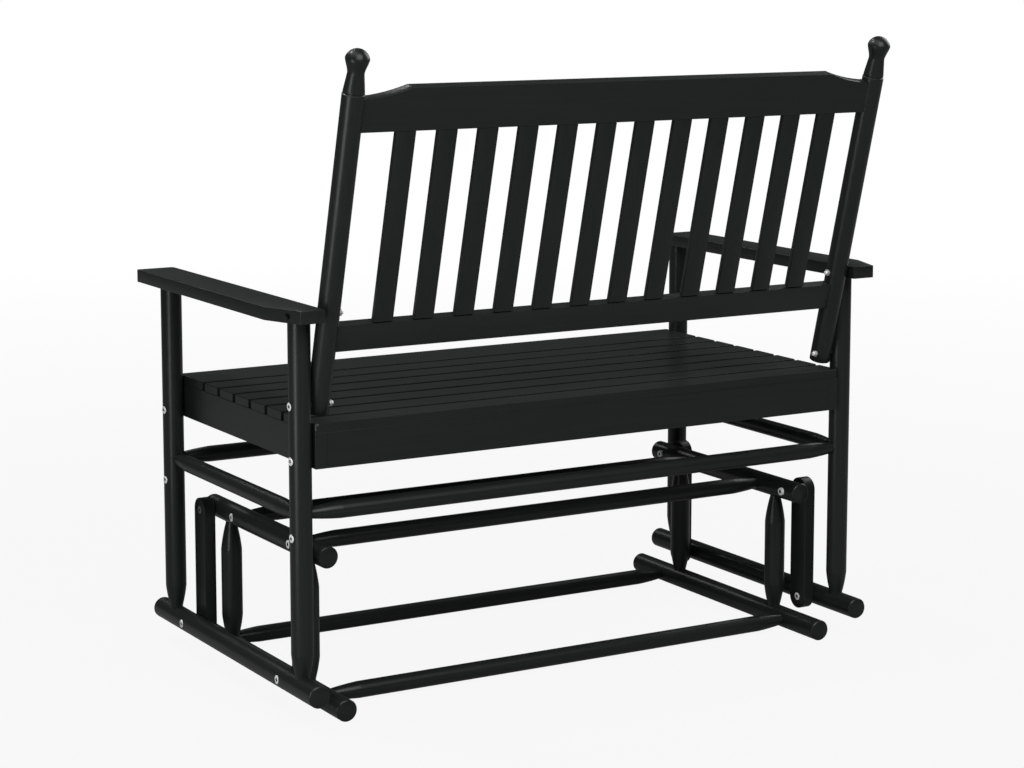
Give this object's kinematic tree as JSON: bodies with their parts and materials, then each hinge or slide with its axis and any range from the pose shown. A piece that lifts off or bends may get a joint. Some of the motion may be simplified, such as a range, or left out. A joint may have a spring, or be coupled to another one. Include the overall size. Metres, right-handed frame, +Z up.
{
  "type": "glider bench",
  "caption": "Wooden glider bench with slatted seat and back, flat armrests and a chair frame that hangs by swing links from a runner base.",
  "frame": {"origin": "centre of the footprint on the floor", "axes": "+Z up, the sitter faces -Y, +X is the sitter's left"},
  "size_m": [1.044, 0.6567, 0.9643],
  "materials": {
    "paint": "satin black paint over turned and planed wood",
    "steel": "bright zinc plated steel"
  },
  "bodies": {
    "base": {"base_lower_crossbar_front": "paint", "base_lower_crossbar_rear": "paint", "base_posts": "paint", "base_rail_left": "paint", "base_rail_right": "paint", "base_runner_left": "paint", "base_runner_right": "paint", "base_upper_crossbar_front": "paint", "base_upper_crossbar_rear": "paint", "rail_pivot_bolts": "steel", "rail_pivot_sleeves": "steel", "rail_screws": "steel"},
    "link_front_left": {"link_front_left": "paint"},
    "link_front_right": {"link_front_right": "paint"},
    "link_rear_left": {"link_rear_left": "paint"},
    "link_rear_right": {"link_rear_right": "paint"},
    "chair": {"arm_bolts": "steel", "armrest_left": "paint", "armrest_right": "paint", "back_bottom_rail": "paint", "back_post_left": "paint", "back_post_right": "paint", "back_slats": "paint", "back_top_rail": "paint", "chair_runner_left": "paint", "chair_runner_right": "paint", "cross_stretcher_front": "paint", "cross_stretcher_rear": "paint", "foot_bolts": "steel", "leg_front_left": "paint", "leg_front_right": "paint", "leg_low_screws": "steel", "leg_rear_left": "paint", "leg_rear_right": "paint", "leg_screws": "steel", "post_nuts": "steel", "runner_pivot_bolts": "steel", "runner_pivot_sleeves": "steel", "seat_apron_front": "paint", "seat_apron_rear": "paint", "seat_nosing": "paint", "seat_side_board_left": "paint", "seat_side_board_right": "paint", "seat_slat_1": "paint", "seat_slat_2": "paint", "seat_slat_3": "paint", "seat_slat_4": "paint", "seat_slat_5": "paint", "seat_slat_6": "paint", "seat_slat_7": "paint", "seat_slat_8": "paint", "side_stretcher_left": "paint", "side_stretcher_right": "paint"}
  },
  "joints": [
    {"name": "swing_front_left", "type": "hinge", "parent": "base", "child": "link_front_left", "pos_m": [0.44865, -0.21763, 0.2285], "axis": [1, 0, 0], "range_deg": [-18, 18]},
    {"name": "swing_front_right", "type": "hinge", "parent": "base", "child": "link_front_right", "pos_m": [-0.44865, -0.21763, 0.2285], "axis": [1, 0, 0], "range_deg": [-18, 18]},
    {"name": "swing_rear_left", "type": "hinge", "parent": "base", "child": "link_rear_left", "pos_m": [0.44865, 0.13237, 0.2285], "axis": [1, 0, 0], "range_deg": [-18, 18]},
    {"name": "swing_rear_right", "type": "hinge", "parent": "base", "child": "link_rear_right", "pos_m": [-0.44865, 0.13237, 0.2285], "axis": [1, 0, 0], "range_deg": [-18, 18]},
    {"name": "chair_hang", "type": "hinge", "parent": "link_front_left", "child": "chair", "pos_m": [0.44865, -0.21763, 0.05065], "axis": [1, 0, 0], "range_deg": [-18, 18]}
  ],
  "couplings": [
    {"joint": "chair_hang", "follows": "swing_front_left", "ratio": -1},
    {"joint": "swing_front_right", "follows": "swing_front_left", "ratio": 1},
    {"joint": "swing_rear_left", "follows": "swing_front_left", "ratio": 1},
    {"joint": "swing_rear_right", "follows": "swing_front_left", "ratio": 1}
  ]
}
